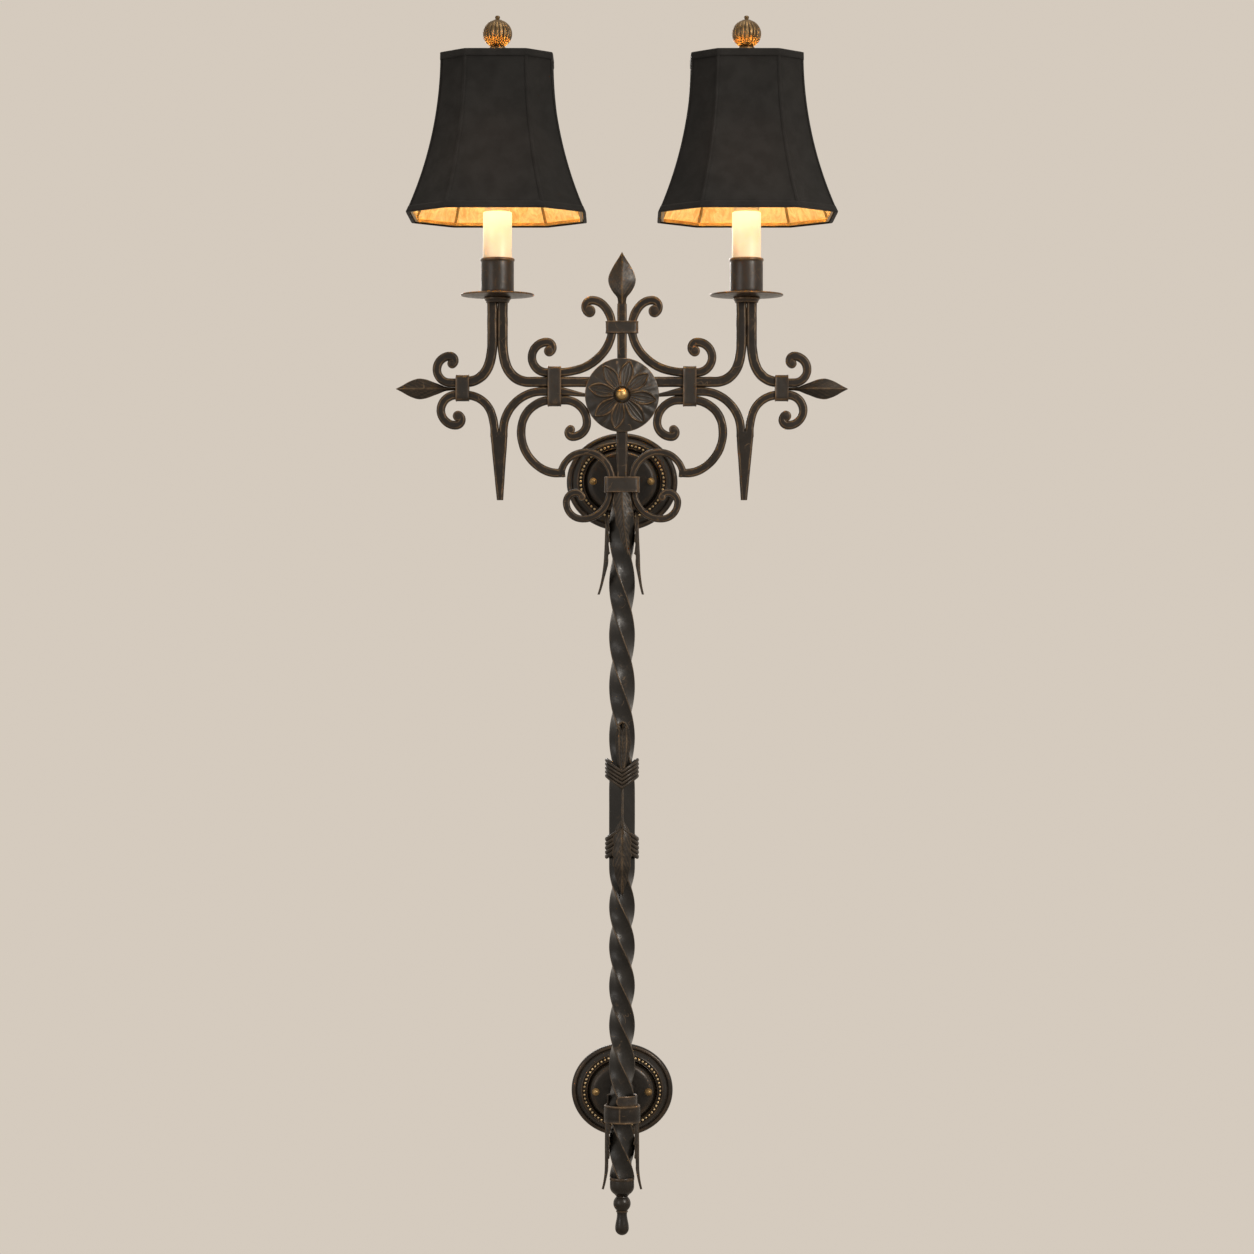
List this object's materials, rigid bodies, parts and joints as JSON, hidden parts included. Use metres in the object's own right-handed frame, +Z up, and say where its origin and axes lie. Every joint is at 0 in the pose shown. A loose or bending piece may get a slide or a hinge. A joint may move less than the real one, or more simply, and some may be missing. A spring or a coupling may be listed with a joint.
{
  "type": "wall sconce",
  "caption": "Forged iron scroll wall sconce: shaded candle lamps, leaves, a rosette and a long twisted bar on oval wall plates.",
  "frame": {"origin": "middle of the upper wall plate's back, on the wall", "axes": "+Z up along the twisted bar, +X to the right as seen from the front, the front faces -Y"},
  "size_m": [0.452, 0.1889, 1.2195],
  "materials": {
    "iron_bars": "satin, dark brown-black wrought iron with bronze rubbed edges",
    "iron_leaves": "satin, dark wrought iron leaf with bronze rubbed edges",
    "iron_bands": "satin, dark wrought iron band with bronze rubbed face",
    "iron_rosette": "satin, dark wrought iron rosette with bronze rubbed petal rims",
    "iron_nuts": "satin, dark iron nut",
    "twisted_iron": "satin, grey-black twisted iron with soft highlights and bronze ridges",
    "iron_wraps": "satin, dark iron strands with bronze rubbed tops",
    "iron_finial": "satin, dark turned iron",
    "iron_arms": "satin, dark round iron arm",
    "iron_plates": "satin, dark bronze-brown pressed iron plate",
    "bronze_beads": "satin, aged pale gold beading",
    "brass_parts": "satin, aged golden brass",
    "strap_steel": "satin, zinc plated steel strap",
    "iron_collars": "satin, dark iron collar",
    "iron_pans": "satin, dark iron drip pan with bronze rubbed rim",
    "iron_cups": "satin, dark iron candle cup",
    "holder_plastic": "matte, ivory plastic lamp holder",
    "candle_sleeve": "matte, warm ivory candle sleeve",
    "brass_wire": "satin, brass plated wire and sheet",
    "bulb_cap": "satin, bulb cap",
    "bulb_glass": "gloss, frosted warm white glass, lit",
    "shade_wire": "satin, brass painted wire frame",
    "shade_cloth": "matte, near-black cloth",
    "shade_foil": "satin, gold leaf lining, lit from inside",
    "shade_trim": "matte, near-black folded cloth edge",
    "bronze_finial": "satin, bronze-brown ribbed finial"
  },
  "bodies": {
    "sconce": {"outer_arms": "iron_bars", "inner_arms": "iron_bars", "spike_scrolls": "iron_bars", "upper_scrolls": "iron_bars", "c_scrolls": "iron_bars", "arch_scrolls": "iron_bars", "centre_bar": "iron_bars", "top_leaf": "iron_leaves", "side_leaves": "iron_leaves", "top_band": "iron_bands", "inner_bands": "iron_bands", "outer_bands": "iron_bands", "hip_band": "iron_bands", "rosette": "iron_rosette", "rosette_ball": "brass_parts", "rosette_nut": "iron_nuts", "twisted_bar": "twisted_iron", "hip_leaves": "iron_leaves", "long_leaf": "iron_leaves", "leaf_strands": "iron_wraps", "foot_band": "iron_bands", "foot_leaves": "iron_leaves", "bottom_finial": "iron_finial", "upper_arm": "iron_arms", "lower_arm": "iron_arms", "arm_locknuts": "iron_nuts", "upper_plate": "iron_plates", "lower_plate": "iron_plates", "bead_rings": "bronze_beads", "plate_nuts": "brass_parts", "mounting_straps": "strap_steel", "stem_collars": "iron_collars", "drip_pans": "iron_pans", "nipples": "brass_parts", "cup_locknuts": "brass_parts", "holder_rings": "holder_plastic", "left_candle_cup": "iron_cups", "left_candle_sleeve": "candle_sleeve", "left_lamp_holder": "holder_plastic", "left_harp_saddle": "brass_wire", "right_candle_cup": "iron_cups", "right_candle_sleeve": "candle_sleeve", "right_lamp_holder": "holder_plastic", "right_harp_saddle": "brass_wire"},
    "left_harp": {"left_harp": "brass_wire"},
    "left_shade": {"left_shade_frame": "shade_wire", "left_shade_cover": "shade_cloth", "left_shade_lining": "shade_foil", "left_shade_trim": "shade_trim"},
    "left_finial": {"left_finial": "bronze_finial"},
    "left_bulb": {"left_bulb_base": "bulb_cap", "left_bulb_glass": "bulb_glass"},
    "right_harp": {"right_harp": "brass_wire"},
    "right_shade": {"right_shade_frame": "shade_wire", "right_shade_cover": "shade_cloth", "right_shade_lining": "shade_foil", "right_shade_trim": "shade_trim"},
    "right_finial": {"right_finial": "bronze_finial"},
    "right_bulb": {"right_bulb_base": "bulb_cap", "right_bulb_glass": "bulb_glass"}
  },
  "joints": [
    {"name": "left_harp_lift", "type": "slide", "parent": "sconce", "child": "left_harp", "axis": [0, 0, 1], "range_m": [0, 0.012]},
    {"name": "left_shade_turn", "type": "hinge", "parent": "left_harp", "child": "left_shade", "pos_m": [-0.1245, -0.1, 0.4136], "axis": [0, 0, 1], "continuous": true},
    {"name": "left_finial_turn", "type": "hinge", "parent": "left_harp", "child": "left_finial", "pos_m": [-0.1245, -0.1, 0.4236], "axis": [0, 0, 1], "continuous": true},
    {"name": "left_bulb_turn", "type": "hinge", "parent": "sconce", "child": "left_bulb", "pos_m": [-0.1245, -0.1, 0.2636], "axis": [0, 0, 1], "range_deg": [0, 720]},
    {"name": "right_harp_lift", "type": "slide", "parent": "sconce", "child": "right_harp", "axis": [0, 0, 1], "range_m": [0, 0.012]},
    {"name": "right_shade_turn", "type": "hinge", "parent": "right_harp", "child": "right_shade", "pos_m": [0.1245, -0.1, 0.4136], "axis": [0, 0, 1], "continuous": true},
    {"name": "right_finial_turn", "type": "hinge", "parent": "right_harp", "child": "right_finial", "pos_m": [0.1245, -0.1, 0.4236], "axis": [0, 0, 1], "continuous": true},
    {"name": "right_bulb_turn", "type": "hinge", "parent": "sconce", "child": "right_bulb", "pos_m": [0.1245, -0.1, 0.2636], "axis": [0, 0, 1], "range_deg": [0, 720]}
  ]
}
